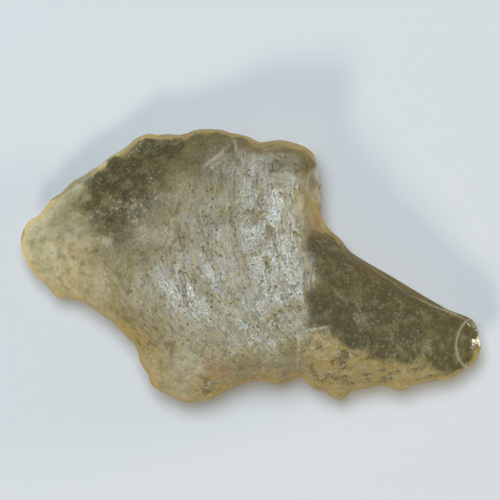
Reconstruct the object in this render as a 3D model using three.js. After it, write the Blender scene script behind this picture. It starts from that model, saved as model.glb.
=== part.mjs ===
// A raw fragment of Libyan desert glass: one piece of pale yellow natural glass, worn by sand and wind,
// lying on its back. +X runs along its length to the narrow tail, +Y runs to the long rounded edge,
// and +Z points up from the flat worn patch that it lies on. All sizes are in millimetres.
import * as THREE from "three";

// The outline as seen from above, anticlockwise from the end of the tail, one row to a stretch of the edge.
const EDGE_POINTS = [
  [27.8, -10.0], [27.6, -8.9], [27.0, -6.8], [23.6, -5.2], [16.8, -1.2], [11.9, 1.8], [10.9, 3.1],
  [9.5, 4.4], [8.4, 6.6], [8.5, 7.4], [8.3, 9.3], [8.5, 9.7], [8.3, 10.4], [7.4, 13.7],
  [4.2, 15.1], [2.5, 15.1], [1.2, 14.9], [-0.3, 15.6], [-2.6, 16.1], [-3.6, 16.4], [-6.6, 16.4],
  [-7.7, 16.0], [-8.8, 15.8], [-9.9, 15.9], [-11.3, 15.8], [-12.5, 15.9], [-14.1, 15.2], [-14.8, 14.5],
  [-17.3, 12.9], [-18.3, 12.0], [-19.4, 11.5], [-20.2, 10.9], [-21.4, 10.3], [-23.0, 8.7], [-24.1, 8.0],
  [-25.6, 6.1], [-26.9, 5.3], [-27.8, 2.8], [-26.4, -0.7], [-24.6, -2.3], [-23.3, -3.9], [-22.3, -3.8],
  [-19.2, -5.0], [-17.7, -6.2], [-16.9, -6.6], [-15.9, -7.7], [-14.8, -8.8], [-14.0, -9.5], [-13.2, -12.0],
  [-12.5, -13.0], [-11.9, -14.5], [-8.9, -16.1], [-8.1, -16.5], [-4.6, -16.1], [-3.2, -15.3], [0.6, -13.9],
  [2.1, -14.2], [3.6, -14.3], [4.7, -14.0], [5.8, -13.5], [8.0, -15.1], [8.8, -15.1], [9.9, -16.0],
  [11.2, -16.1], [11.9, -15.4], [12.8, -15.0], [14.3, -14.8], [15.8, -14.5], [18.1, -15.1], [19.8, -14.5],
  [21.5, -14.1], [24.2, -13.6], [26.3, -12.3], [27.0, -11.9],
];

// Ribs across the fragment, from the tail's end to the left tip: where each leaves the upper edge and meets
// the lower one. The surface is drawn on lines between them, which meet the edge squarely enough all round.
const LEFT_TIP = [-27.8, 2.8];
const RIBS = [
  { upper: [27.0, -6.8], lower: [27.0, -11.9] },
  { upper: [23.6, -5.2], lower: [21.5, -14.1] },
  { upper: [16.8, -1.2], lower: [14.3, -14.8] },
  { upper: [11.9, 1.8], lower: [8.4, -15.1] },
  { upper: [9.5, 4.4], lower: [4.7, -14.0] },
  { upper: [8.4, 7.4], lower: [1.5, -14.0] },
  { upper: [8.3, 10.4], lower: [-1.0, -14.6] },
  { upper: [7.4, 13.7], lower: [-3.2, -15.3] },
  { upper: [2.5, 15.1], lower: [-6.0, -16.3] },
  { upper: [-5.0, 16.4], lower: [-9.5, -15.9] },
  { upper: [-11.3, 15.8], lower: [-12.3, -13.5] },
  { upper: [-17.3, 12.9], lower: [-14.6, -9.0] },
  { upper: [-21.4, 10.3], lower: [-18.5, -5.5] },
  { upper: [-24.8, 7.2], lower: [-23.0, -4.0] },
  { upper: [-26.9, 5.3], lower: [-26.0, -1.1] },
];

// The broad face, and the facets that fall away from it beyond a crease. faces is the way downhill, in
// degrees from +X, slope is how much steeper the ground gets, and soft is how wide the crease is rounded.
// A crease with a reach ends that far to each side of its middle, at, and dies out over fade.
const FACE = { height: 11.9, riseX: 0.045, riseY: -0.12 };
const FRONT_CREASES = [
  { at: [-5.6, 3.2], faces: 141, slope: 0.32, soft: 8 }, // upper left facet
  { at: [-16.5, 2.0], faces: 190, slope: 0.12, soft: 4 }, // left lobe
  { at: [6.2, -2.3], faces: -4, slope: 0.38, soft: 3.2 }, // from the face down to the tail
  { at: [15.6, -10.4], faces: -105, slope: 0.75, soft: 0.9, reach: 8, fade: 4 }, // lower side of the tail
  { at: [16.6, -2.9], faces: 57.6, slope: 1.7, soft: 0.4, reach: 10.9, fade: 1.5 }, // upper side of the tail
  { at: [-24.0, -1.3], faces: -127, slope: 0.6, soft: 0.5, reach: 4.6, fade: 1.5 }, // lip under the lobe
  { at: [-3.1, -4.2], faces: -94, slope: 0.38, soft: 9, reach: 7, fade: 6 }, // foot
  { at: [-7.6, 12.8], faces: 92, slope: 0.3, soft: 2.0, reach: 6, fade: 4 }, // long rounded edge
  { at: [-18.2, 9.0], faces: 128, slope: 0.1, soft: 1.5, reach: 9, fade: 3 }, // upper left edge
  { at: [3.7, 13.6], faces: 85, slope: 0.9, soft: 0.5, reach: 3.9, fade: 1 }, // top of the square corner
];

// The underside is flat in the middle, where the sand has worn it, and rises to the edge all round.
const BACK_CREASES = [
  { at: [9, -4], faces: -12, slope: 0.15, soft: 1.5 },
  { at: [4, 5], faces: 50, slope: 0.26, soft: 1.5 },
  { at: [-4, 7], faces: 92, slope: 0.3, soft: 1.5 },
  { at: [-11, 5.5], faces: 132, slope: 0.2, soft: 1.5 },
  { at: [-14, 0], faces: 176, slope: 0.2, soft: 1.5 },
  { at: [-9, -6.5], faces: -128, slope: 0.3, soft: 1.5 },
  { at: [0, -8.5], faces: -94, slope: 0.34, soft: 1.5 },
];

// Shell-shaped scars where flakes came off the edge, each the print of a ball: at is the ball's middle as
// seen from above, and mouth is how far from there the scar's crest lies.
const FRONT_SCARS = [
  { at: [28.3, -9.6], ball: 5.0, mouth: 3.6 }, // end of the tail
  { at: [9.0, 9.7], ball: 3.2, mouth: 2.3 }, // crescent on the chipped side
  { at: [9.0, 6.3], ball: 4.6, mouth: 2.8 }, // above the notch
  { at: [-16.6, -13.2], ball: 11, mouth: 7.1 }, // smooth hollow at the lower left
  { at: [-24.2, 10.4], ball: 4.0, mouth: 2.9 }, // nicks along the upper left edge
  { at: [-20.4, 12.6], ball: 3.4, mouth: 2.2 },
  { at: [-17.2, 15.2], ball: 4.4, mouth: 2.8 },
  { at: [-9.2, 17.6], ball: 3.6, mouth: 2.4 },
  { at: [1.0, 17.0], ball: 3.6, mouth: 2.7 },
  { at: [2.4, -16.4], ball: 4.2, mouth: 3.1 }, // hollows along the lower edge
  { at: [5.8, -15.4], ball: 2.6, mouth: 2.3 },
  { at: [15.4, -16.6], ball: 3.6, mouth: 2.7 },
];
const BACK_SCARS = [
  { at: [12.5, 4.5], ball: 8, mouth: 6.2 },
  { at: [-21, 12.8], ball: 9, mouth: 6 },
  { at: [-19, -9.5], ball: 9, mouth: 6.2 },
  { at: [6.5, -17.5], ball: 6, mouth: 4.6 },
  { at: [26.5, -14], ball: 6, mouth: 4.2 },
];

// The edge: its height above the rest, and how the surface turns down to it at a rounded rim and a low dome.
// The upper dome is wide on the lobe, narrow where x is more than toX, and narrowest on top of the corner.
const EDGE = { height: 4.7, wander: 0.5, wanderSize: 7, turn: 0.9 };
const RIM = { radius: 0.7, share: 0.16 };
const DOME = { reach: 6.5, cornerReach: 3.8, topReach: 1.7, power: 2.2 };
const DOME_NARROWS = { fromX: -10, toX: 3, topFromX: -7, topToX: 0, topFromY: 7, topToY: 12 };

// Lumps over the whole surface, and cup-shaped hollows that the wind has cut, deepest on the left lobe.
const LUMPS = [
  { size: 7.0, height: 0.45, turn: 0.9 },
  { size: 3.4, height: 0.16, turn: 1.3 },
];
const FRONT_CUPS = { size: 3.6, depth: 0.5, from: -9, to: -17 };
const BACK_CUPS = { size: 4.6, depth: 0.6 };
const CUP_FORM = { crispness: 12, inset: 0.15, gain: 1.8, level: 0.3 }; // a crisper cup has sharper ridges
const BACK_FLAT = 0.8; // the underside's relief starts where it has risen this far

// Each kind of relief has a seed of its own, so that their patterns differ.
const SEEDS = { frontLumps: 1, edge: 3, frontCups: 5, backLumps: 7, backCups: 11 };
const SCATTER = { perColumn: 127.1, perRow: 311.7, perSeed: 74.7, stretch: 43758.5453 };
const WAVE_GAIN = 1.6;

// Stations along the fragment, and cells across its upper and lower surface at each of them.
const STATIONS = 84;
const FRONT_CELLS = 38;
const BACK_CELLS = 16;
const RIM_CROWDING = 0.7; // from 0, evenly spaced across, to 1, crowded towards the rim

const radians = THREE.MathUtils.degToRad;
const smooth = THREE.MathUtils.smoothstep;
const lerp = THREE.MathUtils.lerp;

const EDGE_SAMPLE_COUNT = 1500;
const edgeCurve = new THREE.CatmullRomCurve3(
  EDGE_POINTS.map(([x, y]) => new THREE.Vector3(x, y, 0)),
  true,
  "centripetal",
);
edgeCurve.arcLengthDivisions = 2 * EDGE_SAMPLE_COUNT;
const edgeSamples = edgeCurve.getSpacedPoints(EDGE_SAMPLE_COUNT);
const edgeStep = edgeCurve.getLength() / EDGE_SAMPLE_COUNT;

// How far round the edge its sample nearest to a point lies, from 0 to 1.
function roundEdge([x, y]) {
  const distances = edgeSamples.map((p) => Math.hypot(p.x - x, p.y - y));
  return distances.indexOf(Math.min(...distances)) / EDGE_SAMPLE_COUNT;
}

// The distance to the edge, rounded off where two sides are equally near. The sum of 1 / r^4 along a
// straight edge is pi / (2 d^3), so the sum over the whole edge gives d close to it, and less than d between
// two sides.
function softDistance(x, y) {
  const share = (p) => edgeStep / ((p.x - x) ** 2 + (p.y - y) ** 2) ** 2;
  const sum = edgeSamples.reduce((total, p) => total + share(p), 0);
  return Math.cbrt(Math.PI / 2 / sum);
}

// A repeatable number from 0 to 1 for each corner of a grid: the tail digits of a large sine.
function scatter(i, j, seed) {
  const turn = i * SCATTER.perColumn + j * SCATTER.perRow + seed * SCATTER.perSeed;
  const s = Math.sin(turn) * SCATTER.stretch;
  return s - Math.floor(s);
}

// Smooth waves of about the given size, from -1 to 1: gradient noise on a turned grid.
function waves(x, y, size, turn, seed) {
  const u = (x * Math.cos(turn) - y * Math.sin(turn)) / size;
  const v = (x * Math.sin(turn) + y * Math.cos(turn)) / size;
  const i = Math.floor(u);
  const j = Math.floor(v);
  const pull = (di, dj) => {
    const way = 2 * Math.PI * scatter(i + di, j + dj, seed);
    return Math.cos(way) * (u - i - di) + Math.sin(way) * (v - j - dj);
  };
  const across = smooth(u - i, 0, 1);
  const low = lerp(pull(0, 0), pull(1, 0), across);
  const high = lerp(pull(0, 1), pull(1, 1), across);
  return WAVE_GAIN * lerp(low, high, smooth(v - j, 0, 1));
}

// Cup-shaped hollows with rounded ridges between them, from about -0.5 at a cup's middle to 0.5 on a ridge:
// a soft least of the squared distances to the scattered points of the cells around, one point to a cell.
function cups(x, y, size, seed) {
  const u = x / size;
  const v = y / size;
  const { crispness, inset, gain, level } = CUP_FORM;
  const within = (part) => inset + (1 - 2 * inset) * part;
  let sum = 0;
  for (let di = -1; di <= 1; di++) {
    for (let dj = -1; dj <= 1; dj++) {
      const i = Math.floor(u) + di;
      const j = Math.floor(v) + dj;
      const du = i + within(scatter(i, j, seed)) - u;
      const dv = j + within(scatter(i, j, seed + 1)) - v;
      sum += Math.exp(-crispness * (du * du + dv * dv));
    }
  }
  return (-gain * Math.log(sum)) / crispness - level;
}

function lumps(x, y, seed) {
  return LUMPS.reduce((sum, w, k) => sum + w.height * waves(x, y, w.size, w.turn, seed + k), 0);
}

// How far the ground has fallen beyond a crease.
function drop(x, y, { at, faces, slope, soft, reach = Infinity, fade = 1 }) {
  const dx = x - at[0];
  const dy = y - at[1];
  const c = Math.cos(radians(faces));
  const s = Math.sin(radians(faces));
  const beyond = Math.max(dx * c + dy * s, 0);
  const along = Math.abs(dy * c - dx * s);
  const fallen = beyond < soft ? (beyond * beyond) / (2 * soft) : beyond - soft / 2;
  return slope * fallen * (1 - smooth(along, reach, reach + fade));
}

// How deep a scar's ball has cut below the ground at its crest.
function scarDepth(x, y, { at, ball, mouth }) {
  const out = Math.hypot(x - at[0], y - at[1]);
  if (out >= mouth) return 0;
  return Math.sqrt(ball ** 2 - out ** 2) - Math.sqrt(ball ** 2 - mouth ** 2);
}

const deepestScar = (x, y, scars) => Math.max(...scars.map((scar) => scarDepth(x, y, scar)));

function frontSurface(x, y) {
  const plane = FACE.height + FACE.riseX * x + FACE.riseY * y;
  const faceted = FRONT_CREASES.reduce((z, crease) => z - drop(x, y, crease), plane);
  const onLobe = smooth(-x, -FRONT_CUPS.from, -FRONT_CUPS.to);
  const cupped = FRONT_CUPS.depth * cups(x, y, FRONT_CUPS.size, SEEDS.frontCups) * onLobe;
  return faceted + lumps(x, y, SEEDS.frontLumps) + cupped - deepestScar(x, y, FRONT_SCARS);
}

function backSurface(x, y) {
  const rise = BACK_CREASES.reduce((sum, crease) => sum + drop(x, y, crease), 0);
  const cupped = BACK_CUPS.depth * cups(x, y, BACK_CUPS.size, SEEDS.backCups);
  const worn = (lumps(x, y, SEEDS.backLumps) + cupped) * smooth(rise, 0, BACK_FLAT);
  return rise + worn + deepestScar(x, y, BACK_SCARS);
}

function edgeHeight(x, y) {
  return EDGE.height + EDGE.wander * waves(x, y, EDGE.wanderSize, EDGE.turn, SEEDS.edge);
}

// How far from the edge the upper dome reaches its full height.
function frontReach(x, y) {
  const { fromX, toX, topFromX, topToX, topFromY, topToY } = DOME_NARROWS;
  const side = lerp(DOME.reach, DOME.cornerReach, smooth(x, fromX, toX));
  return lerp(side, DOME.topReach, smooth(x, topFromX, topToX) * smooth(y, topFromY, topToY));
}

// How far a surface has risen from the edge to its full height, 0 to 1, at a distance from the edge.
function swell(distance, reach) {
  const near = Math.min(distance / RIM.radius, 1);
  const far = Math.min(distance / reach, 1);
  const rim = Math.sqrt(1 - (1 - near) ** 2);
  return RIM.share * rim + (1 - RIM.share) * (1 - (1 - far) ** DOME.power);
}

// How far round the edge each rib's two ends lie. The tail's end is the edge's start on the upper side,
// and its end on the lower side.
const tip = roundEdge(LEFT_TIP);
const ribEnds = [
  { upper: 0, lower: 1 },
  ...RIBS.map(({ upper, lower }) => ({ upper: roundEdge(upper), lower: roundEdge(lower) })),
  { upper: tip, lower: tip },
];
// How far along the fragment each rib stands, 0 to 1, by the mean of the two edges' lengths up to it.
const ribAlong = ribEnds.map(({ upper, lower }) => (upper / tip + (1 - lower) / (1 - tip)) / 2);

// The two edge points that the line across at a station joins.
function lineAcross(along) {
  const k = Math.max(ribAlong.findIndex((r) => r >= along), 1);
  const part = (along - ribAlong[k - 1]) / (ribAlong[k] - ribAlong[k - 1]);
  const end = (side) => edgeCurve.getPointAt(lerp(ribEnds[k - 1][side], ribEnds[k][side], part));
  return { upper: end("upper"), lower: end("lower") };
}

// One surface at a station: cells + 1 points from the lower edge to the upper edge.
function acrossSurface({ upper, lower }, cells, surface, reach) {
  return Array.from({ length: cells + 1 }, (_, n) => {
    const even = (2 * n) / cells - 1;
    const across = lerp(even, Math.sin((Math.PI / 2) * even), RIM_CROWDING);
    const x = lerp(lower.x, upper.x, (1 + across) / 2);
    const y = lerp(lower.y, upper.y, (1 + across) / 2);
    const onRim = n === 0 || n === cells;
    const rise = onRim ? 0 : swell(softDistance(x, y), reach(x, y));
    return new THREE.Vector3(x, y, lerp(edgeHeight(x, y), surface(x, y), rise));
  });
}

// The closed skin: rings of points right round the fragment, joined from the tail's end to the left tip.
function glassGeometry() {
  const points = [];
  const triangles = [];
  const onEdge = ([x, y]) => new THREE.Vector3(x, y, edgeHeight(x, y));

  points.push(onEdge(EDGE_POINTS[0]));
  for (let s = 1; s < STATIONS; s++) {
    const line = lineAcross(s / STATIONS);
    const front = acrossSurface(line, FRONT_CELLS, frontSurface, frontReach);
    const back = acrossSurface(line, BACK_CELLS, backSurface, () => DOME.reach);
    points.push(...front, ...back.slice(1, -1).reverse());
  }
  points.push(onEdge(LEFT_TIP));

  const around = FRONT_CELLS + BACK_CELLS;
  const last = points.length - 1;
  const at = (s, k) => 1 + (s - 1) * around + (k % around);
  for (let k = 0; k < around; k++) {
    triangles.push(0, at(1, k + 1), at(1, k));
    triangles.push(last, at(STATIONS - 1, k), at(STATIONS - 1, k + 1));
    for (let s = 1; s < STATIONS - 1; s++) {
      const [a, b, c, d] = [at(s, k), at(s, k + 1), at(s + 1, k + 1), at(s + 1, k)];
      const shortWay = points[a].distanceTo(points[c]) < points[b].distanceTo(points[d]);
      triangles.push(...(shortWay ? [a, b, c, a, c, d] : [a, b, d, b, c, d]));
    }
  }

  const geometry = new THREE.BufferGeometry().setFromPoints(points);
  geometry.setIndex(triangles);
  geometry.computeVertexNormals();
  geometry.computeBoundingBox();
  const { min, max } = geometry.boundingBox;
  return geometry.translate(-(min.x + max.x) / 2, -(min.y + max.y) / 2, -min.z);
}

// Pale yellow natural glass, frosted by sand.
const desertGlass = new THREE.MeshStandardMaterial({ color: 0xb5a56b, roughness: 0.45, metalness: 0 });

const glass = new THREE.Mesh(glassGeometry(), desertGlass);
glass.name = "desert_glass";

const root = new THREE.Group();
root.add(glass);
export default root;
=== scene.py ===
import bpy
import numpy as np
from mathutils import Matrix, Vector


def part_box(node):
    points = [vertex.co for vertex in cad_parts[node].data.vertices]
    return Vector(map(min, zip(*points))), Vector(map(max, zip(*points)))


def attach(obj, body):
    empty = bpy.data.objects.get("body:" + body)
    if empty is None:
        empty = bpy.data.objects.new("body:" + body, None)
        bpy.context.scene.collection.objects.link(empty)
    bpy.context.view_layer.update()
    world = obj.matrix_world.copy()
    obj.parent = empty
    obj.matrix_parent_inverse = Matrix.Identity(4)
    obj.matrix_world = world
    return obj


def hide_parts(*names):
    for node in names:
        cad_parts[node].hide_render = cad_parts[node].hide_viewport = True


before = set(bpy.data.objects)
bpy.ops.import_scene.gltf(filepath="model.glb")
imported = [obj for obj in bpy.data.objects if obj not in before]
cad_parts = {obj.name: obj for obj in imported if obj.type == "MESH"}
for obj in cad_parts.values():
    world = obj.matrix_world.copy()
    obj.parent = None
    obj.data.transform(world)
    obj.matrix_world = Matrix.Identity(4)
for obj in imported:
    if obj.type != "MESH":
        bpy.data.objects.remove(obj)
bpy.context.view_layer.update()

# The fragment: one piece of natural glass, pale yellow to olive, melted from desert sand and broken into a
# flat splinter with a tail. Wind has frosted and fluted its broad face, and chips at its ends still show
# clear glass.

# All sizes in this section are in millimetres, in the outline's own frame, until the mesh is placed.
# The outline as seen from above: points along the edge, anticlockwise from the end of the tail.
EDGE_POINTS = [
    [27.8, -10.0], [27.6, -8.9], [27.0, -6.8], [23.6, -5.2], [16.8, -1.2], [11.9, 1.8], [10.9, 3.1],
    [9.5, 4.4], [8.4, 6.6], [8.5, 7.4], [8.3, 9.3], [8.5, 9.7], [8.3, 10.4], [7.4, 13.7],
    [4.2, 15.1], [2.5, 15.1], [1.2, 14.9], [-0.3, 15.6], [-2.6, 16.1], [-3.6, 16.4], [-6.6, 16.4],
    [-7.7, 16.0], [-8.8, 15.8], [-9.9, 15.9], [-11.3, 15.8], [-12.5, 15.9], [-14.1, 15.2], [-14.8, 14.5],
    [-17.3, 12.9], [-18.3, 12.0], [-19.4, 11.5], [-20.2, 10.9], [-21.4, 10.3], [-23.0, 8.7], [-24.1, 8.0],
    [-25.6, 6.1], [-26.9, 5.3], [-27.8, 2.8], [-26.4, -0.7], [-24.6, -2.3], [-23.3, -3.9], [-22.3, -3.8],
    [-19.2, -5.0], [-17.7, -6.2], [-16.9, -6.6], [-15.9, -7.7], [-14.8, -8.8], [-14.0, -9.5], [-13.2, -12.0],
    [-12.5, -13.0], [-11.9, -14.5], [-8.9, -16.1], [-8.1, -16.5], [-4.6, -16.1], [-3.2, -15.3], [0.6, -13.9],
    [2.1, -14.2], [3.6, -14.3], [4.7, -14.0], [5.8, -13.5], [8.0, -15.1], [8.8, -15.1], [9.9, -16.0],
    [11.2, -16.1], [11.9, -15.4], [12.8, -15.0], [14.3, -14.8], [15.8, -14.5], [18.1, -15.1], [19.8, -14.5],
    [21.5, -14.1], [24.2, -13.6], [26.3, -12.3], [27.0, -11.9],
]

# Ribs across the fragment, each from a point of the upper edge to one of the lower edge, tail's end first.
LEFT_TIP = [-27.8, 2.8]
RIBS = [
    ([27.0, -6.8], [27.0, -11.9]),
    ([23.6, -5.2], [21.5, -14.1]),
    ([16.8, -1.2], [14.3, -14.8]),
    ([11.9, 1.8], [8.4, -15.1]),
    ([9.5, 4.4], [4.7, -14.0]),
    ([8.4, 7.4], [1.5, -14.0]),
    ([8.3, 10.4], [-1.0, -14.6]),
    ([7.4, 13.7], [-3.2, -15.3]),
    ([2.5, 15.1], [-6.0, -16.3]),
    ([-5.0, 16.4], [-9.5, -15.9]),
    ([-11.3, 15.8], [-12.3, -13.5]),
    ([-17.3, 12.9], [-14.6, -9.0]),
    ([-21.4, 10.3], [-18.5, -5.5]),
    ([-24.8, 7.2], [-23.0, -4.0]),
    ([-26.9, 5.3], [-26.0, -1.1]),
]

# The broad face, and the facets that fall away from it beyond a crease: a point on the crease, the way
# downhill in degrees from +X, how much steeper the ground gets, how wide the crease is rounded, and for a
# crease that ends, how far it reaches to each side of its point and over what length it dies out.
FACE = {"height": 11.9, "rise_x": 0.045, "rise_y": -0.12}
ENDLESS = 1000
FRONT_CREASES = [
    ([-5.6, 3.2], 141, 0.32, 8, ENDLESS, 1),  # upper left facet
    ([-16.5, 2.0], 190, 0.12, 4, ENDLESS, 1),  # left lobe
    ([6.2, -2.3], -4, 0.38, 3.2, ENDLESS, 1),  # from the face down to the tail
    ([15.6, -10.4], -105, 0.75, 0.9, 8, 4),  # lower side of the tail
    ([16.6, -2.9], 57.6, 1.7, 0.4, 10.9, 1.5),  # upper side of the tail
    ([-24.0, -1.3], -127, 0.6, 0.5, 4.6, 1.5),  # lip under the left lobe
    ([-3.1, -4.2], -94, 0.38, 9, 7, 6),  # foot
    ([-7.6, 12.8], 92, 0.3, 2.0, 6, 4),  # long rounded edge
    ([-18.2, 9.0], 128, 0.1, 1.5, 9, 3),  # upper left edge
    ([3.7, 13.6], 85, 0.9, 0.5, 3.9, 1),  # top of the square corner
]
# The underside is flat between these creases, and rises beyond each of them.
BACK_CREASES = [
    ([9, -4], -12, 0.15, 1.5, ENDLESS, 1),
    ([4, 5], 50, 0.26, 1.5, ENDLESS, 1),
    ([-4, 7], 92, 0.3, 1.5, ENDLESS, 1),
    ([-11, 5.5], 132, 0.2, 1.5, ENDLESS, 1),
    ([-14, 0], 176, 0.2, 1.5, ENDLESS, 1),
    ([-9, -6.5], -128, 0.3, 1.5, ENDLESS, 1),
    ([0, -8.5], -94, 0.34, 1.5, ENDLESS, 1),
]

# Shell-shaped scars of lost flakes, each the print of a ball: its middle, radius and distance to the crest.
FRONT_SCARS = [
    ([28.3, -9.6], 5.0, 3.6),  # end of the tail
    ([9.0, 9.7], 3.2, 2.3),  # crescent on the chipped side
    ([9.0, 6.3], 4.6, 2.8),  # above the notch
    ([-16.6, -13.2], 11, 7.1),  # smooth hollow at the lower left
    ([-24.2, 10.4], 4.0, 2.9),  # nicks along the upper left edge
    ([-20.4, 12.6], 3.4, 2.2),
    ([-17.2, 15.2], 4.4, 2.8),
    ([-9.2, 17.6], 3.6, 2.4),
    ([1.0, 17.0], 3.6, 2.7),
    ([2.4, -16.4], 4.2, 3.1),  # hollows along the lower edge
    ([5.8, -15.4], 2.6, 2.3),
    ([15.4, -16.6], 3.6, 2.7),
]
BACK_SCARS = [
    ([12.5, 4.5], 8, 6.2),
    ([-21, 12.8], 9, 6),
    ([-19, -9.5], 9, 6.2),
    ([6.5, -17.5], 6, 4.6),
    ([26.5, -14], 6, 4.2),
]

# The edge's level and how far it wanders, the round of the rim, and the low domes that rise from it.
EDGE_HEIGHT, EDGE_WANDER, EDGE_WANDER_SIZE = 4.7, 0.5, 7
RIM_RADIUS, RIM_SHARE = 0.7, 0.16
DOME_REACH, CORNER_REACH, TOP_REACH, DOME_POWER = 6.5, 3.8, 1.7, 2.2
LUMPS = [(7.0, 0.45, 0.9), (3.4, 0.16, 1.3)]  # size, height and turn of each layer
# Wind cups: size and depth. The upper ones fade in towards the left lobe, between two places in x.
FRONT_CUPS, BACK_CUPS = (3.6, 0.5), (4.6, 0.6)
CUPS_FROM, CUPS_TO = -9, -17
CUP_CRISPNESS = 12
# The underside is worn only where it has risen this far, so that it rests on a flat face.
BACK_FLAT = 0.8

# Stations along the fragment, cells across its two surfaces, how much they crowd at the rim, edge samples.
STATIONS, FRONT_CELLS, BACK_CELLS = 400, 200, 46
RIM_CROWDING = 0.7
EDGE_SAMPLES = 3000


def smooth(value, start, end):
    """0 before start, 1 after end, and 3t^2 - 2t^3 between."""
    t = np.clip((value - start) / (end - start), 0, 1)
    return t * t * (3 - 2 * t)


def edge_curve(points, count):
    """A smooth closed curve through the points, sampled at even lengths: cubic spans whose tangents come
    from knots spaced by the square root of the distance between points."""
    p = np.array(points, float)
    before, here, after, beyond = (np.roll(p, shift, axis=0) for shift in (1, 0, -1, -2))
    steps = ((before, here), (here, after), (after, beyond))
    k0, k1, k2 = (np.sqrt(np.linalg.norm(b - a, axis=1))[:, None] for a, b in steps)
    start_way = ((here - before) / k0 - (after - before) / (k0 + k1) + (after - here) / k1) * k1
    end_way = ((after - here) / k1 - (beyond - here) / (k1 + k2) + (beyond - after) / k2) * k1
    t = np.linspace(0, 1, 60, endpoint=False)[None, :, None]
    a, b, from_a, to_b = (v[:, None, :] for v in (here, after, start_way, end_way))
    spans = (2 * t**3 - 3 * t**2 + 1) * a + (t**3 - 2 * t**2 + t) * from_a
    spans += (3 * t**2 - 2 * t**3) * b + (t**3 - t**2) * to_b
    line = spans.reshape(-1, 2)
    line = np.vstack([line, line[:1]])
    length = np.concatenate([[0], np.cumsum(np.linalg.norm(np.diff(line, axis=0), axis=1))])
    even = np.linspace(0, length[-1], count, endpoint=False)
    return np.stack([np.interp(even, length, line[:, k]) for k in (0, 1)], axis=1), length[-1]


edge, edge_length = edge_curve(EDGE_POINTS, EDGE_SAMPLES)


def round_edge(point):
    """How far round the edge its sample nearest to the point lies, 0 to 1."""
    return np.argmin(np.linalg.norm(edge - point, axis=1)) / EDGE_SAMPLES


def edge_point(part):
    """The edge's x and y a given part of the way round it, on the straight line between two samples."""
    at = part * EDGE_SAMPLES
    samples = np.arange(EDGE_SAMPLES + 1)
    return tuple(np.interp(at, samples, np.append(edge[:, k], edge[0, k])) for k in (0, 1))


def soft_distance(x, y):
    """The distance to the edge, rounded off between two sides that are equally near: the sum of 1 / r^4
    over a straight edge is pi / (2 d^3), so it gives d near an edge, and less than d in the middle."""
    places = np.stack([x.ravel(), y.ravel()], axis=1).astype(np.float32)
    ends = edge.astype(np.float32)
    sums = []
    for part in np.array_split(places, 200):
        square = (part[:, :1] - ends[:, 0]) ** 2 + (part[:, 1:] - ends[:, 1]) ** 2
        sums.append(np.sum(1 / np.maximum(square, 1e-5) ** 2, axis=1))
    total = np.concatenate(sums).astype(float) * edge_length / EDGE_SAMPLES
    return np.cbrt(np.pi / 2 / total).reshape(x.shape)


def scatter(i, j, seed):
    """A repeatable number from 0 to 1 for each corner of a grid: the tail digits of a large sine."""
    s = np.sin(i * 127.1 + j * 311.7 + seed * 74.7) * 43758.5453
    return s - np.floor(s)


def waves(x, y, size, turn, seed):
    """Smooth waves of about the given size, -1 to 1: gradient noise on a turned grid."""
    u = (x * np.cos(turn) - y * np.sin(turn)) / size
    v = (x * np.sin(turn) + y * np.cos(turn)) / size
    i, j = np.floor(u), np.floor(v)

    def pull(di, dj):
        way = 2 * np.pi * scatter(i + di, j + dj, seed)
        return np.cos(way) * (u - i - di) + np.sin(way) * (v - j - dj)

    across, up = smooth(u - i, 0, 1), smooth(v - j, 0, 1)
    low = pull(0, 0) + (pull(1, 0) - pull(0, 0)) * across
    high = pull(0, 1) + (pull(1, 1) - pull(0, 1)) * across
    return 1.6 * (low + (high - low) * up)


def cups(x, y, size, seed):
    """Cup-shaped hollows, about -0.5 at a cup's middle and 0.5 on the rounded ridges between: a soft least
    of the squared distances to one scattered point in each cell around."""
    u, v = x / size, y / size
    total = 0
    for di in (-1, 0, 1):
        for dj in (-1, 0, 1):
            i, j = np.floor(u) + di, np.floor(v) + dj
            du = i + 0.15 + 0.7 * scatter(i, j, seed) - u
            dv = j + 0.15 + 0.7 * scatter(i, j, seed + 1) - v
            total = total + np.exp(-CUP_CRISPNESS * (du * du + dv * dv))
    return -1.8 * np.log(total) / CUP_CRISPNESS - 0.3


def lumps(x, y, seed):
    """The layers of waves that make the surface uneven, added up."""
    return sum(height * waves(x, y, size, turn, seed + k) for k, (size, height, turn) in enumerate(LUMPS))


def beyond_crease(x, y, at, faces):
    """How far a point lies beyond a crease, and how far along it from the crease's own point: the offset
    from that point, turned by the way the crease faces."""
    c, s = np.cos(np.radians(faces)), np.sin(np.radians(faces))
    dx, dy = x - at[0], y - at[1]
    return dx * c + dy * s, dy * c - dx * s


def drop(x, y, at, faces, slope, soft, reach, fade):
    """How far the ground has fallen beyond a crease: a parabola over the rounded width, then a slope."""
    beyond, along = beyond_crease(x, y, at, faces)
    beyond = np.maximum(beyond, 0)
    fallen = np.where(beyond < soft, beyond**2 / (2 * soft), beyond - soft / 2)
    return slope * fallen * (1 - smooth(np.abs(along), reach, reach + fade))


def deepest_scar(x, y, scars):
    """How deep the deepest scar's ball has cut below the ground at its crest: the root of ball^2 -
    distance^2, less the same at the crest."""
    depth = np.zeros_like(x)
    for at, ball, mouth in scars:
        out = np.minimum(np.hypot(x - at[0], y - at[1]), mouth)
        depth = np.maximum(depth, np.sqrt(ball**2 - out**2) - np.sqrt(ball**2 - mouth**2))
    return depth


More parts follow.
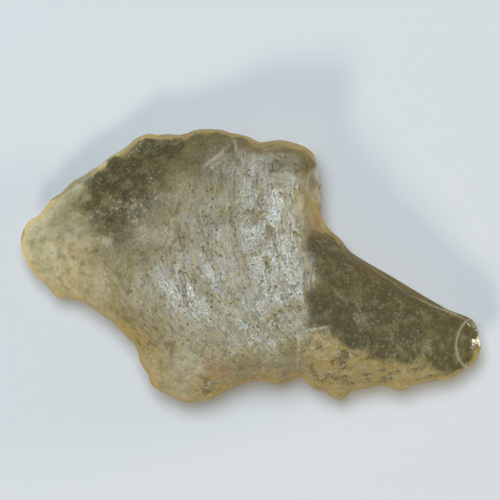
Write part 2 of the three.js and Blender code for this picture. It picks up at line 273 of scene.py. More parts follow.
def front_surface(x, y):
    """The upper surface before it turns down to the edge: plane, facets, lumps, wind cups and scars."""
    ground = FACE["height"] + FACE["rise_x"] * x + FACE["rise_y"] * y
    ground = ground - sum(drop(x, y, *crease) for crease in FRONT_CREASES)
    on_lobe = smooth(-x, -CUPS_FROM, -CUPS_TO)
    size, depth = FRONT_CUPS
    return ground + lumps(x, y, 1) + depth * cups(x, y, size, 5) * on_lobe - deepest_scar(x, y, FRONT_SCARS)


def back_surface(x, y):
    """The underside before it turns up to the edge: flat, then rising facets with cups and scars."""
    rise = sum(drop(x, y, *crease) for crease in BACK_CREASES)
    size, depth = BACK_CUPS
    worn = lumps(x, y, 7) + depth * cups(x, y, size, 11)
    return rise + worn * smooth(rise, 0, BACK_FLAT) + deepest_scar(x, y, BACK_SCARS)


def front_reach(x, y):
    """How far from the edge the upper dome reaches its full height, with soft steps between: wide on the
    lobe, narrow from the square corner to the tail, and narrowest along the top of the corner."""
    side = DOME_REACH + (CORNER_REACH - DOME_REACH) * smooth(x, -10, 3)
    return side + (TOP_REACH - side) * smooth(x, -7, 0) * smooth(y, 7, 12)


def swell(distance, reach):
    """How far a surface has risen from the edge, 0 to 1: a quarter circle at the rim, then a low dome."""
    near = np.minimum(distance / RIM_RADIUS, 1)
    far = np.minimum(distance / reach, 1)
    rim = np.sqrt(1 - (1 - near) ** 2)
    return RIM_SHARE * rim + (1 - RIM_SHARE) * (1 - (1 - far) ** DOME_POWER)


def lines_across(stations):
    """The upper and lower edge points that each station's line joins, spaced between ribs by length."""
    tip = round_edge(LEFT_TIP)
    upper = np.array([0] + [round_edge(rib[0]) for rib in RIBS] + [tip])
    lower = np.array([1] + [round_edge(rib[1]) for rib in RIBS] + [tip])
    along = (upper / tip + (1 - lower) / (1 - tip)) / 2
    at = np.arange(1, stations) / stations
    return edge_point(np.interp(at, along, upper)), edge_point(np.interp(at, along, lower))


def across_surface(cells):
    """The x and y of a surface's points, one row for each station, from the lower edge to the upper edge. A
    share of a sine crowds them towards both edges."""
    upper, lower = lines_across(STATIONS)
    even = np.linspace(-1, 1, cells + 1)
    across = even + (np.sin(np.pi / 2 * even) - even) * RIM_CROWDING
    part = (1 + across) / 2
    return tuple(low[:, None] + (high - low)[:, None] * part for low, high in zip(lower, upper))


# Fine relief of the upper surface. Dark grooves: from, to, half width and depth.
GROOVES = [
    ([0.4, 11.4], [0.7, 6.7], 0.22, 0.14),
    ([-0.1, 7.4], [0.6, 4.6], 0.17, 0.11),
    ([2.1, 5.3], [3.3, 1.6], 0.22, 0.14),
    ([-8.2, 0.9], [-7.8, -5.4], 0.15, 0.14),
    ([-8.4, 8.0], [-9.1, 5.7], 0.17, 0.14),
    ([-9.1, 5.7], [-8.1, 1.5], 0.17, 0.14),
    ([-6.7, 6.7], [-5.2, 2.1], 0.17, 0.13),
    ([-2.5, 7.3], [-2.0, 4.1], 0.17, 0.13),
    ([1.7, 1.7], [2.3, -3.1], 0.17, 0.10),
    ([6.3, 0.0], [6.8, -4.8], 0.17, 0.10),
    ([7.4, 0.2], [7.2, -5.3], 0.14, 0.08),
]
DEEPEST_GROOVE = 0.14
# Lines painted pale as highlights: the crest along the tail, scratches and the crack below it. From, to,
# half width and brightness.
GLINT_LINES = [
    ([12.6, 1.2], [19.6, -4.0], 0.09, 0.3),
    ([18.2, -3.2], [26.8, -6.9], 0.10, 0.55),
    ([-5.9, 11.5], [-2.7, 14.3], 0.17, 1.6),
    ([-5.3, 11.2], [-3.2, 12.9], 0.13, 1.0),
    ([-2.0, 15.4], [-1.7, 13.6], 0.13, 1.2),
    ([5.7, -7.4], [5.6, -13.6], 0.13, 1.0),
    ([5.5, -8.0], [10.0, -7.1], 0.13, 1.2),
    ([12.2, -3.5], [13.6, -6.6], 0.08, 0.4),
    ([9.0, -1.8], [11.5, -4.6], 0.08, 0.4),
]
# These lines wander by this much in waves of this size, and fade over this share of their length.
STROKE_BEND, STROKE_BEND_SIZE, STROKE_FADE = 0.12, 2.2, 0.3
# Pits in the frosted face: cell size, the share of cells with a pit, radius and depth.
PIT_LAYERS = [(1.5, 0.5, 0.30, 0.12), (0.8, 0.45, 0.17, 0.07)]
# Larger pits that lie alone: middle, radius and depth.
LONE_PITS = [
    ([-0.2, 3.6], 0.32, 0.14), ([-19.6, 8.5], 0.2, 0.1), ([-22.6, 0.6], 0.26, 0.12),
    ([-21.6, 4.5], 0.24, 0.1), ([-16.0, 0.3], 0.2, 0.1), ([-9.7, -5.4], 0.3, 0.12),
]
# A burst bubble: its ring's radius, the width and depth of the ring's groove, and how wide it looks dark.
BUBBLE = {"at": [3.0, 12.0], "ring": 0.6, "width": 0.13, "depth": 0.12, "dark_width": 0.17}
# The flutes run this way, from +X, and sway off it in waves of a given size.
FLUTE_WAY = np.radians(-76)
FLUTES = [(0.40, 2.6, 0.022), (0.9, 4.0, 0.045)]  # width, length and height of each layer
FLUTE_SWAY, FLUTE_SWAY_SIZE = 0.5, 6
DIMPLES = [(2.6, 0.11, 0.6), (1.25, 0.04, 1.7), (0.6, 0.014, 0.2)]  # size, height and turn of each layer
# Small wind cups on the milky glass and the broken sides: size and depth of each layer.
POCKS, POCK_SEED = [(1.5, 0.26), (0.75, 0.13)], 71

# Where the look of the glass changes. Lines: a point on each, and the way across it in degrees from +X.
FROST_END, TAIL_START = ([-9.2, 6.4], 141), ([7.2, -2.3], -4)
UNDER_TAIL, OVER_TAIL = ([15.6, -10.4], -105), ([16.6, -2.9], 57.6)
# Levels in x or y where the foot, the lobe and the bands along the edges begin.
FOOT_LEVEL, FOOT_SUGAR_LEVEL, LOBE_START, LOBE_LEAN = -10.5, -11.5, -18.5, 0.3
TOP_CLEAR_LEVEL, TOP_BAND_LEVEL, BOTTOM_BAND_LEVEL = 9.5, 13.9, -12.8
# Patches: middle, radius and softness.
CORNER, FOOT_MILK = ([6.4, 11.2], 2.6, 1.8), ([-9.0, -13.2], 3.2, 2.5)
# The sheen is strongest in a strip around this x, and around this point.
SHEEN_STRIP, SHEEN_MIDDLE = 3.6, [-8.6, -3.6]
# The chip at the tail's end, the crescent, the scoop and the hollow: middle and distance to the crest.
TAIL_CHIP, CRESCENT, SCOOP, HOLLOW = [(at, mouth) for at, ball, mouth in FRONT_SCARS[:4]]
# Half width of the highlight painted along the crests of the chip at the tail's end and of the crescent.
CREST_GLINT_WIDTH = 0.13
# Rusty stains: middle and radius.
STAINS = [
    ([-4.8, -11.6], 1.0), ([-3.2, -12.6], 0.7), ([-8.9, -5.4], 0.6), ([-10.8, 8.6], 0.4), ([7.9, 5.4], 0.4),
]
STAIN_WANDER, STAIN_WANDER_SIZE = 0.5, 0.9
# The amber glow painted along the rim, standing for light through the thin edge, has this mean width.
RIM_GLOW_WIDTH = 0.62  # mean width
BACK_SHIFT = 40  # how far off the underside's patches are read from the upper side's waves


def strokes(x, y, lines):
    """Slightly wavy lines with a bell-shaped section, exp(-(off / half width)^2), which die out."""
    depth = np.zeros_like(x)
    for start, end, half, deep in lines:
        start, end = np.array(start), np.array(end)
        length = np.linalg.norm(end - start)
        way = (end - start) / length
        along = (x - start[0]) * way[0] + (y - start[1]) * way[1]
        off = (y - start[1]) * way[0] - (x - start[0]) * way[1]
        bend = STROKE_BEND * waves(along + 7 * start[0], 0 * along + start[1], STROKE_BEND_SIZE, 0, 21)
        begun = smooth(along, 0, STROKE_FADE * length)
        ended = smooth(along, (1 - STROKE_FADE) * length, length)
        depth = depth + deep * np.exp(-(((off - bend) / half) ** 2)) * begun * (1 - ended)
    return depth


def pit_depth(x, y, size, share, radius, deep, seed):
    """Round pits, at most one to a cell, each of its own size: 1 - (distance / radius)^2 of the depth."""
    i, j = np.floor(x / size), np.floor(y / size)
    own = radius * (0.6 + 0.6 * scatter(i, j, seed))
    inset = 0.25
    px = (i + inset + (1 - 2 * inset) * scatter(i, j, seed + 1)) * size
    py = (j + inset + (1 - 2 * inset) * scatter(i, j, seed + 2)) * size
    there = scatter(i, j, seed + 3) < share
    out = np.hypot(x - px, y - py) / own
    return deep * there * np.clip(1 - out**2, 0, 1)


def flutes(x, y):
    """Long low waves that run the way the sand blew: stretched along that way, and swaying off it."""
    c, s = np.cos(FLUTE_WAY), np.sin(FLUTE_WAY)
    along, off = x * c + y * s, y * c - x * s
    off = off + FLUTE_SWAY * waves(x, y, FLUTE_SWAY_SIZE, 0.2, 31)
    height = 0
    for layer, (wide, long, high) in enumerate(FLUTES):
        height = height + high * waves(off / wide, along / long, 1, 0, 33 + layer)
    return height


def zone(value, soft, x, y):
    """A mask that turns from 0 to 1 as a value passes zero: a soft step whose place wanders in waves."""
    wander = 1.5 * waves(x, y, 4.3, 0.7, 41) + 0.8 * waves(x, y, 1.7, 1.9, 42)
    return smooth(value + wander, -soft, soft)


def inside(x, y, at, radius):
    """How far inside a circle a point lies: the radius less the distance to the circle's middle."""
    return radius - np.hypot(x - at[0], y - at[1])


def patch(x, y, at, radius, soft):
    """A round patch with a soft and wandering edge: the zone inside a circle."""
    return zone(inside(x, y, at, radius), soft, x, y)


def front_zones(x, y, distance):
    """The masks of the upper surface that the finish reads, and how far it is worn into small cups. Each is
    a soft step over a line or a circle, or the product or the largest of some of them."""
    upper_left, to_tail, below_tail, above_tail = (
        beyond_crease(x, y, *line)[0] for line in (FROST_END, TAIL_START, UNDER_TAIL, OVER_TAIL)
    )
    tail = zone(to_tail, 1.6, x, y)
    under_tail = zone(below_tail, 1.2, x, y) * smooth(x, 4.5, 7.5)
    over_tail = smooth(above_tail, -0.2, 0.3) * smooth(x, 10, 12)
    foot = zone(FOOT_LEVEL - y, 3.0, x, y) * (1 - smooth(x, 4, 8))
    lobe = zone(LOBE_START - x - LOBE_LEAN * (y - 2), 4.0, x, y)
    corner = patch(x, y, *CORNER)
    scoop = smooth(inside(x, y, *SCOOP), 0, 0.8)
    hollow = smooth(inside(x, y, *HOLLOW), -0.3, 0.9)
    top_band = zone(y - TOP_BAND_LEVEL, 1.0, x, y) * smooth(x, -1, 1)
    bottom_band = zone(BOTTOM_BAND_LEVEL - y, 1.4, x, y) * smooth(x, -9, -5) * (1 - smooth(x, 5, 7))

    # The frosted face, the dark clear glass around it, and the milky glass of the lobe and the foot.
    frost = zone(1.5 - upper_left, 4.5, x, y) * (1 - tail) * (1 - 0.6 * foot) * (1 - hollow)
    frost = frost * (1 - 0.8 * corner) * smooth(distance, 0.4, 2.4)
    clear = np.maximum.reduce([
        zone(upper_left - 2.2, 4.0, x, y) * (1 - lobe),
        tail * (1 - under_tail),
        0.8 * corner,
        0.6 * zone(y - TOP_CLEAR_LEVEL, 3.0, x, y),
    ])
    milky = np.maximum.reduce([lobe, patch(x, y, *FOOT_MILK), 0.6 * scoop])
    amber = np.maximum.reduce([scoop, top_band, bottom_band, 0.9 * under_tail, 0.5 * hollow])
    pocked = np.maximum.reduce([milky, 0.8 * under_tail, 0.6 * bottom_band, 0.7 * foot, 0.6 * top_band])

    # The sheen of the worn face, which fades to the upper left and ends at the tail, and of sugary edges.
    wander = 1.6 * waves(x, y, 4.3, 0.7, 41)
    strip = 1 - smooth(np.abs(x - SHEEN_STRIP + wander), 1.5, 6.5)
    around = 1 - smooth(np.hypot(x - SHEEN_MIDDLE[0], y - SHEEN_MIDDLE[1]) + wander, 1.5, 7.0)
    polish = (0.62 + 0.38 * np.maximum(strip, around)) * (1 - smooth(upper_left + wander, -6.0, 3.0))
    polish = polish * (1 - 0.8 * corner) * (1 - tail)
    foot_sugar = 0.5 * zone(FOOT_SUGAR_LEVEL - y, 2.0, x, y) * smooth(x, -9, -5)
    sugary = np.maximum.reduce([under_tail, foot, foot_sugar])
    polish = np.maximum.reduce([polish, 0.6 * sugary, 0.4 * lobe]) * smooth(distance, 0.5, 3.4)

    # The rim, painted as an amber glow of light through the thin edge; the fresh chips, with a highlight
    # painted along their crests; the stains; and the ring of the bubble.
    rim_width = RIM_GLOW_WIDTH + 0.3 * waves(x, y, 1.6, 0.3, 44) + 0.25 * waves(x, y, 0.7, 1.1, 45)
    rim = (1 - smooth(distance / rim_width, 0.5, 1.1)) * (1 - 0.6 * over_tail)
    chips = [inside(x, y, *chip) for chip in (TAIL_CHIP, CRESCENT)]
    fresh = np.maximum.reduce([smooth(depth, 0, 0.15) for depth in chips])
    crest = sum(np.exp(-((depth / CREST_GLINT_WIDTH) ** 2)) for depth in chips)
    ragged = STAIN_WANDER * waves(x, y, STAIN_WANDER_SIZE, 0.4, 46)
    stain = np.maximum.reduce([smooth(inside(x, y, *place) + ragged, -0.5, 0.6) for place in STAINS])
    ring = np.exp(-((inside(x, y, BUBBLE["at"], BUBBLE["ring"]) / BUBBLE["dark_width"]) ** 2))
    (wide, _), (narrow, _) = POCKS
    masks = {
        "frost": frost,
        "clear": clear,
        "milky": milky,
        "amber": amber,
        "polish": polish,
        "rim": rim,
        "fresh": fresh,
        "crest": crest,
        "stain": stain,
        "shaded": np.maximum(0.8 * over_tail, 0.45 * tail * (1 - under_tail)),
        "groove": strokes(x, y, GROOVES) / DEEPEST_GROOVE + ring,
        "glint_line": strokes(x, y, GLINT_LINES),
        "sugary": np.maximum(sugary, top_band),
        "cup": 0.5 - cups(x, y, wide, POCK_SEED) - 0.5 * cups(x, y, narrow, POCK_SEED),
    }
    return masks, pocked


def fine_relief(x, y, distance, masks, pocked):
    """Flutes, dimples and small cups, less grooves, pits and the ring of the bubble. They add up, and die
    out at the rim and on the fresh chips."""
    relief = flutes(x, y) * (0.3 + 0.7 * masks["frost"])
    for layer, (size, high, turn) in enumerate(DIMPLES):
        relief = relief + high * waves(x, y, size, turn, 60 + layer)
    for size, deep in POCKS:
        relief = relief + deep * cups(x, y, size, POCK_SEED) * (0.1 + 0.9 * pocked)
    relief = relief - strokes(x, y, GROOVES)
    for layer, (size, share, radius, deep) in enumerate(PIT_LAYERS):
        relief = relief - pit_depth(x, y, size, share, radius, deep, 50 + 10 * layer)
    for at, radius, deep in LONE_PITS:
        relief = relief - deep * np.clip(1 - (np.hypot(x - at[0], y - at[1]) / radius) ** 2, 0, 1)
    off_ring = inside(x, y, BUBBLE["at"], BUBBLE["ring"]) / BUBBLE["width"]
    relief = relief - BUBBLE["depth"] * np.exp(-(off_ring**2))
    return relief * smooth(distance, 0.1, 0.6) * (1 - masks["fresh"])


def edge_height(x, y):
    """The level of the sharp edge that both surfaces meet in: a mean height plus low waves."""
    return EDGE_HEIGHT + EDGE_WANDER * waves(x, y, EDGE_WANDER_SIZE, 0.9, 3)


def skin_height(x, y, ground, distance, reach):
    """The height of the skin: from the edge's level towards the ground, as far as the swell has risen."""
    low = edge_height(x, y)
    return low + (ground - low) * swell(distance, reach)


def rings(front, back, ends):
    """A value of all the points in order: the tail's end, each ring over and under the glass, the tip."""
    return np.concatenate([ends[:1], np.concatenate([front, back], axis=1).ravel(), ends[1:]])


def glass_skin():
    """The closed skin's points, faces and masks: rings of points right round the fragment, over the upper
    surface and back under the lower one, joined from the tail's end to the left tip."""
    front_x, front_y = across_surface(FRONT_CELLS)
    back_x, back_y = (values[:, 1:-1][:, ::-1] for values in across_surface(BACK_CELLS))
    ends_x, ends_y = np.array([EDGE_POINTS[0][0], LEFT_TIP[0]]), np.array([EDGE_POINTS[0][1], LEFT_TIP[1]])

    front_away, back_away = soft_distance(front_x, front_y), soft_distance(back_x, back_y)
    front_away[:, [0, -1]] = 0
    front_masks, pocked = front_zones(front_x, front_y, front_away)
    relief = fine_relief(front_x, front_y, front_away, front_masks, pocked)
    front_ground = front_surface(front_x, front_y) + relief
    back_ground = back_surface(back_x, back_y)
    front_z = skin_height(front_x, front_y, front_ground, front_away, front_reach(front_x, front_y))
    back_z = skin_height(back_x, back_y, back_ground, back_away, DOME_REACH)
    points = np.stack([
        rings(front_x, back_x, ends_x),
        rings(front_y, back_y, ends_y),
        rings(front_z, back_z, edge_height(ends_x, ends_y)),
    ], axis=1)

    # The underside has its own patches of frost and clear glass, read from other places of the same waves.
    back_masks = {name: np.zeros_like(back_x) for name in front_masks}
    # Along the underside's rim, the same painted amber glow.
    back_masks["rim"] = 1 - smooth(back_away, 0.25, 0.95)
    back_masks["frost"] = 0.75 * zone(1.0, 1.5, back_x + BACK_SHIFT, back_y)
    back_masks["clear"] = 0.4 * zone(-0.4, 1.5, back_x - BACK_SHIFT, back_y)
    back_masks["polish"] = 0.5 * smooth(back_away, 0.3, 2.2)
    on_ends = {name: np.full(2, float(name == "rim")) for name in front_masks}
    masks = {name: rings(front_masks[name], back_masks[name], on_ends[name]) for name in front_masks}

    around = FRONT_CELLS + BACK_CELLS
    station, step = np.meshgrid(np.arange(STATIONS - 2), np.arange(around), indexing="ij")
    here = 1 + station * around + step
    beside = 1 + station * around + (step + 1) % around
    quads = np.stack([here, beside, beside + around, here + around], axis=-1).reshape(-1, 4)
    step = np.arange(around)
    after = (step + 1) % around
    first, last = 1, 1 + (STATIONS - 2) * around
    tail_fan = np.stack([0 * step, first + after, first + step], axis=1)
    tip_fan = np.stack([0 * step + len(points) - 1, last + step, last + after], axis=1)
    return points, quads.tolist() + tail_fan.tolist() + tip_fan.tolist(), masks


def placed_in_box(points, low, high):
    """The points in metres, just filling the box: its low corner plus their share of its size."""
    least, most = points.min(axis=0), points.max(axis=0)
    return low + (points - least) / (most - least) * (high - low)


points, faces, masks = glass_skin()
low, high = (np.array(corner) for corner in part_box("desert_glass"))
glass_mesh = bpy.data.meshes.new("glass_fragment")
glass_mesh.from_pydata(placed_in_box(points, low, high), [], faces)
glass_mesh.polygons.foreach_set("use_smooth", [True] * len(glass_mesh.polygons))
for name, values in masks.items():
    glass_mesh.attributes.new(name, "FLOAT", "POINT").data.foreach_set("value", values.astype(np.float32))
glass = bpy.data.objects.new("glass_fragment", glass_mesh)
bpy.context.collection.objects.link(glass)

# The colours the glass is tinted with. The rim colour paints a glow of light through the thin edge, the
# colour in the cups paints shade in them, and the pale colour also paints sparkle and highlights.
GLASS_COLOURS = {
    "body": (0.62, 0.53, 0.22),
    "clear": (0.085, 0.076, 0.015),
    "milky": (1.0, 0.93, 0.62),
    "cup_shade_and_blot": (0.42, 0.35, 0.13),
    "frost": (0.76, 0.75, 0.66),
    "amber": (0.88, 0.64, 0.20),
    "rim": (0.92, 0.70, 0.28),
    "stain": (0.66, 0.34, 0.17),
    "pit_dark": (0.09, 0.07, 0.025),
    "pale_grain_and_glint": (1.0, 0.96, 0.78),
}
# Silica glass: it bends light by this index, lets most of it through, and takes blue out of it on the way.
GLASS_IOR, SEE_THROUGH = 1.46, 0.8
LIGHT_KEPT, ABSORPTION = (0.86, 0.76, 0.30, 1), 130.0
# How rough the frosted glass, the most worn glass and the sheen are, and the bare glass's own weak shine.
FROSTED, WORN_SMOOTH, SHEEN_ROUGHNESS, BARE_SHINE = 0.70, 0.32, 0.35, 0.05
# Micro-relief in millimetres.
GRAZES_HIGH, GRIT_HIGH, SWELLINGS_HIGH, SUGAR_HIGH, PITS_DEEP = 0.075, 0.06, 0.09, 0.04, 0.07
# The grazes lean off the Y axis by the first share, and bend below this height by the square of the drop.
# Along them, places are shrunk to the last share, so that what is drawn there comes out long.
GRAZE_LEAN, GRAZE_BEND_FROM, GRAZE_BEND, GRAZE_SHRINK = 0.12, 4.0, -0.03, 0.12

glass_finish = bpy.data.materials.new("desert_glass")
glass_finish.use_nodes = True
tree = glass_finish.node_tree
tree.nodes.clear()


def node(kind, inputs=None, **settings):
    """A new node, with its settings, and its inputs set to a value or linked to another node's output."""
    made = tree.nodes.new("ShaderNode" + kind)
    for name, value in settings.items():
        setattr(made, name, value)
    for name, value in (inputs or {}).items():
        if isinstance(value, bpy.types.NodeSocket):
            tree.links.new(value, made.inputs[name])
        else:
            made.inputs[name].default_value = value
    return made


def maths(operation, a, b, clamp=False):
    """One sum on two values, kept between 0 and 1 if asked."""
    made = node("Math", {0: a, 1: b}, operation=operation, use_clamp=clamp)
    return made.outputs[0]


def product(*values, clamp=False):
    """The values multiplied with each other."""
    result = values[0]
    for value in values[1:]:
        result = maths("MULTIPLY", result, value, clamp)
    return result


def total(*values, clamp=False):
    """The values added up."""
    result = values[0]
    for value in values[1:]:
        result = maths("ADD", result, value, clamp)
    return result


def from_to(start, end, value):
    """A value from 0 to 1 turned to a number between two others: start + value * (end - start)."""
    return maths("ADD", start, maths("MULTIPLY", value, end - start))


def spread(value, low, high):
    """A value's range from low to high stretched to 0 to 1, with soft ends: 3t^2 - 2t^3."""
    ends = {"Value": value, "From Min": low, "From Max": high}
    return node("MapRange", ends, interpolation_type="SMOOTHSTEP").outputs["Result"]


def mixed(factor, a, b):
    """Colour a turned to colour b by a factor: a + factor * (b - a)."""
    made = node("Mix", data_type="RGBA", clamp_factor=True)
    factor_socket, a_socket, b_socket = made.inputs[0], made.inputs[6], made.inputs[7]
    for socket, value in ((factor_socket, factor), (a_socket, a), (b_socket, b)):
        if isinstance(value, bpy.types.NodeSocket):
            tree.links.new(value, socket)
        else:
            socket.default_value = (*value, 1)
    return made.outputs[2]


def tinted(base, name, *factors):
    """A colour turned to one of the glass's colours by the product of the factors."""
    return mixed(product(*factors), base, GLASS_COLOURS[name])


def frayed(value, fray):
    """A mask whose soft edge is broken up by a noise from 0 to 1: their sum, with its middle spread."""
    lifted = total(value, product(maths("SUBTRACT", fray, 0.5), 2.4))
    return spread(lifted, 0.15, 0.85)


def noise(where, size, detail, roughness):
    """Cloudy noise with features of about the given size in millimetres."""
    made = node("TexNoise", {"Vector": where, "Scale": 1 / size, "Detail": detail, "Roughness": roughness})
    return made.outputs["Fac"]


def specks(where, size, share, radius):
    """Round spots, at most one to a cell, soft at the border, in a share of the cells: the distance to the
    cell's own point, spread between the radius and 0.4 of it."""
    cells = node("TexVoronoi", {"Vector": where, "Scale": 1 / size}, feature="F1")
    chosen = spread(node("SeparateColor", {0: cells.outputs["Color"]}).outputs[0], 1 - share, 1.02 - share)
    return product(spread(cells.outputs["Distance"], radius / size, 0.4 * radius / size), chosen)


# Places in the glass in millimetres, the same along the grazes, and the same bent a little for the specks.
place = node("TexCoord").outputs["Object"]
in_mm = node("VectorMath", {0: place, "Scale": 1000.0}, operation="SCALE").outputs[0]
parts = node("SeparateXYZ", {0: in_mm}).outputs
below = maths("MINIMUM", maths("SUBTRACT", parts["Y"], GRAZE_BEND_FROM), 0.0)
off_line = total(parts["X"], total(product(parts["Y"], GRAZE_LEAN), product(below, below, GRAZE_BEND)))
along_line = product(parts["Y"], GRAZE_SHRINK)
blown = node("CombineXYZ", {0: off_line, 1: along_line, 2: parts["Z"]}).outputs[0]
wobble = node("TexNoise", {"Vector": in_mm, "Scale": 4.0, "Detail": 2.0}).outputs["Color"]
bent = node("VectorMath", {0: wobble, "Scale": 0.3}, operation="SCALE").outputs[0]
bent = node("VectorMath", {0: bent, 1: in_mm}, operation="ADD").outputs[0]

mask = {name: node("Attribute", attribute_name=name).outputs["Fac"] for name in masks}
cloud = noise(in_mm, 2.6, 3.0, 0.6)
blotch = noise(in_mm, 1.7, 2.0, 0.5)
swelling = noise(in_mm, 1.1, 1.5, 0.5)
mottle = noise(in_mm, 0.9, 4.0, 0.65)
crumb = noise(in_mm, 0.34, 2.0, 0.6)
grit = noise(in_mm, 0.24, 1.0, 0.6)
grain = noise(in_mm, 0.22, 3.0, 0.7)
graze = noise(blown, 0.26, 1.5, 0.6)
streak = noise(blown, 1.4, 4.0, 0.6)
dot = specks(bent, 0.55, 0.5, 0.15)
star = specks(bent, 0.32, 0.5, 0.11)
clear = frayed(mask["clear"], mottle)
amber = frayed(mask["amber"], mottle)
milky = frayed(mask["milky"], cloud)

# The body of the glass: dark olive where it is clear, pale khaki where it is cloudy, each with blotches.
deep = tinted(GLASS_COLOURS["clear"], "body", spread(blotch, 0.48, 0.70), 0.36)
deep = tinted(deep, "body", spread(mottle, 0.44, 0.70), 0.32)
shallow = tinted(GLASS_COLOURS["body"], "clear", spread(mottle, 0.54, 0.36), 0.55)
colour = mixed(clear, shallow, deep)

# Milky and amber glass, smoky blots on the broken sides, and sugary pale grains there, partly the glass's
# own and partly painted sparkle. Then painted shade in the small wind cups of the milky glass.
colour = tinted(colour, "milky", milky, from_to(0.62, 0.95, spread(blotch, 0.38, 0.60)))
colour = tinted(colour, "amber", amber, 0.8)
smoke = from_to(0.3, 0.8, spread(crumb, 0.60, 0.42))
colour = tinted(colour, "clear", amber, mask["sugary"], spread(blotch, 0.50, 0.60), smoke)
sugar = product(spread(mottle, 0.50, 0.58), spread(crumb, 0.40, 0.56), mask["sugary"])
colour = tinted(colour, "pale_grain_and_glint", sugar, 0.7)
# Painted shade, deepest in the middle of the small wind cups, together with random dark blots.
hollows = total(
    product(spread(mask["cup"], 0.35, 1.0), 0.6),
    product(spread(mottle, 0.50, 0.40), 0.5),
    product(spread(crumb, 0.42, 0.34), 0.4),
    clamp=True,
)
colour = tinted(colour, "cup_shade_and_blot", hollows, milky, 0.75)

# Frost, the amber glow painted along the rim, and the stains; then painted shade in the grazes' valleys and
# painted highlights on their ridges; and the dark grooves.
colour = tinted(colour, "frost", mask["frost"], spread(cloud, 0.30, 0.62), 0.45)
colour = tinted(colour, "rim", mask["rim"], 0.8)
colour = tinted(colour, "stain", mask["stain"], 0.7)
colour = tinted(colour, "clear", spread(graze, 0.45, 0.34), mask["frost"], 0.5)
colour = tinted(colour, "pale_grain_and_glint", spread(graze, 0.57, 0.70), mask["frost"], 0.22)
colour = tinted(colour, "clear", mask["groove"], 0.6)

# Cream crumbs in clusters, partly the glass's own pale grains and partly painted sparkle, and dark pits,
# thickest on the frosted face. The tail and its upper side get painted shade, and highlights are painted
# along the crests, scratches and crack.
crumbs = maths("MAXIMUM", spread(crumb, 0.55, 0.68), star)
colour = tinted(colour, "pale_grain_and_glint", crumbs, from_to(0.2, 0.9, spread(cloud, 0.46, 0.62)), 0.85)
# The pits, and specks in the grain, are coloured darker.
pits = maths("MAXIMUM", dot, spread(grain, 0.42, 0.30))
colour = tinted(colour, "pit_dark", pits, from_to(0.06, 0.86, mask["frost"]), from_to(1.0, 0.2, milky))
colour = tinted(colour, "clear", mask["shaded"], 0.8)
# Painted highlights along the chips' crests, the tail's crest, the scratches and the crack.
glint_line = product(mask["glint_line"], spread(grain, 0.36, 0.54))
colour = tinted(colour, "pale_grain_and_glint", maths("MAXIMUM", product(mask["crest"], 0.75), glint_line))

# The sheen: stronger where the face is worn, in streaks along the grazes. The glass is smoother there.
worn = maths("MAXIMUM", spread(streak, 0.28, 0.62), product(mask["sugary"], 0.7))
gloss = from_to(0.02, 1.0, product(worn, mask["polish"]))
gloss = product(gloss, from_to(0.2, 1.0, spread(grain, 0.34, 0.58)), clamp=True)
rough = from_to(FROSTED, WORN_SMOOTH, product(mask["polish"], from_to(0.55, 1.0, worn)))
rough = total(rough, product(maths("SUBTRACT", mottle, 0.5), 0.2))
rough = product(rough, from_to(1.0, 0.2, mask["fresh"]), clamp=True)

# Grazes, grit, swellings and sugar stand up and the pits go in. The fresh chips are smooth.
height = total(
    product(graze, GRAZES_HIGH),
    product(grit, GRIT_HIGH),
    product(swelling, SWELLINGS_HIGH),
    product(sugar, SUGAR_HIGH),
)
height = product(maths("SUBTRACT", height, product(dot, PITS_DEEP)), from_to(1.0, 0.05, mask["fresh"]))
bump = node("Bump", {"Height": height, "Strength": 1.0, "Distance": 0.001})

surface = node("BsdfPrincipled", {
    "Base Color": colour,
    "Roughness": rough,
    "Normal": bump.outputs["Normal"],
    "IOR": GLASS_IOR,
    "Transmission Weight": SEE_THROUGH,
    "Specular IOR Level": BARE_SHINE,
    "Coat Weight": gloss,
    "Coat Roughness": SHEEN_ROUGHNESS,
    "Coat Normal": bump.outputs["Normal"],
    "Coat IOR": GLASS_IOR,
})
absorbed = node("VolumeAbsorption", {"Color": LIGHT_KEPT, "Density": ABSORPTION})
node("OutputMaterial", {"Surface": surface.outputs[0], "Volume": absorbed.outputs[0]})
glass_mesh.materials.append(glass_finish)

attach(glass, "root")
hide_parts("desert_glass")

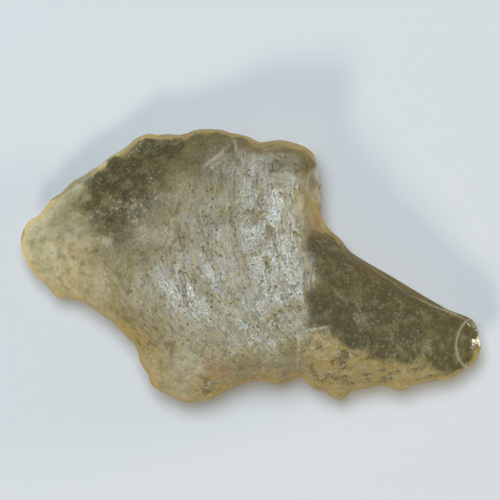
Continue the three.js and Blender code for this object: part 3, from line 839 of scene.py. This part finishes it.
# The floor: a wide plain matt sheet in a pale grey, such as painted board, that the fragment lies on. It is
# a twentieth of a millimetre lower, so that the two don't touch.
FLOOR_HALF, FLOOR_LEVEL = 1.0, -0.00005
FLOOR_COLOUR, FLOOR_ROUGHNESS = (0.44, 0.43, 0.41, 1), 0.9
floor_mesh = bpy.data.meshes.new("floor")
corners = [(x * FLOOR_HALF, y * FLOOR_HALF, FLOOR_LEVEL) for x, y in ((-1, -1), (1, -1), (1, 1), (-1, 1))]
floor_mesh.from_pydata(corners, [], [(0, 1, 2, 3)])
floor = bpy.data.objects.new("floor", floor_mesh)
bpy.context.collection.objects.link(floor)
floor_paint = bpy.data.materials.new("floor")
floor_paint.use_nodes = True
painted = floor_paint.node_tree.nodes["Principled BSDF"].inputs
painted["Base Color"].default_value = FLOOR_COLOUR
painted["Roughness"].default_value = FLOOR_ROUGHNESS
floor_mesh.materials.append(floor_paint)

# The light: a weak plain sky, a cool soft lamp high above the top edge, and two small warm ones, from the
# lower left and low from the right.
SKY_COLOUR, SKY_STRENGTH = (0.80, 0.84, 0.90, 1), 0.22
sky = bpy.data.worlds.new("sky")
sky.use_nodes = True
background = sky.node_tree.nodes["Background"].inputs
background["Color"].default_value = SKY_COLOUR
background["Strength"].default_value = SKY_STRENGTH
bpy.context.scene.world = sky
LAMPS = [  # name, place, width, power and colour
    ("key", (-0.045, 0.115, 0.46), 0.23, 3.0, (0.70, 0.84, 1.0)),
    ("fill", (-0.14, -0.30, 0.28), 0.10, 1.0, (1.0, 0.95, 0.85)),
    ("side", (0.36, 0.08, 0.09), 0.10, 0.8, (1.0, 0.90, 0.74)),
]
for name, (x, y, z), width, power, light_colour in LAMPS:
    light = bpy.data.lights.new(name, "AREA")
    light.shape = "DISK"
    light.size = width
    light.energy = power
    light.color = light_colour
    lamp = bpy.data.objects.new(name, light)
    lamp.location = (x, y, z)
    lamp.rotation_euler = (np.arctan2(np.hypot(x, y), z), 0, np.arctan2(x, -y))
    bpy.context.collection.objects.link(lamp)

# The camera looks straight down on the broad face, because the fragment lies on its back. The frame's
# middle is on this point of the fragment, and a millimetre at the rim's level is this many pixels.
PIXELS_PER_MM, PICTURE_WIDTH = 8.3, 500
FRAME_MIDDLE = (-0.0001, 0.0019)
CAMERA_HEIGHT = 0.45
RIM_LEVEL = 0.006
camera_data = bpy.data.cameras.new("camera")
camera = bpy.data.objects.new("camera", camera_data)
bpy.context.collection.objects.link(camera)
camera.location = (*FRAME_MIDDLE, CAMERA_HEIGHT)
seen_width = PICTURE_WIDTH / PIXELS_PER_MM / 1000
camera_data.lens = camera_data.sensor_width * (CAMERA_HEIGHT - RIM_LEVEL) / seen_width
camera_data.clip_start = 0.01
bpy.context.scene.camera = camera
bpy.context.scene.view_settings.view_transform = "Standard"
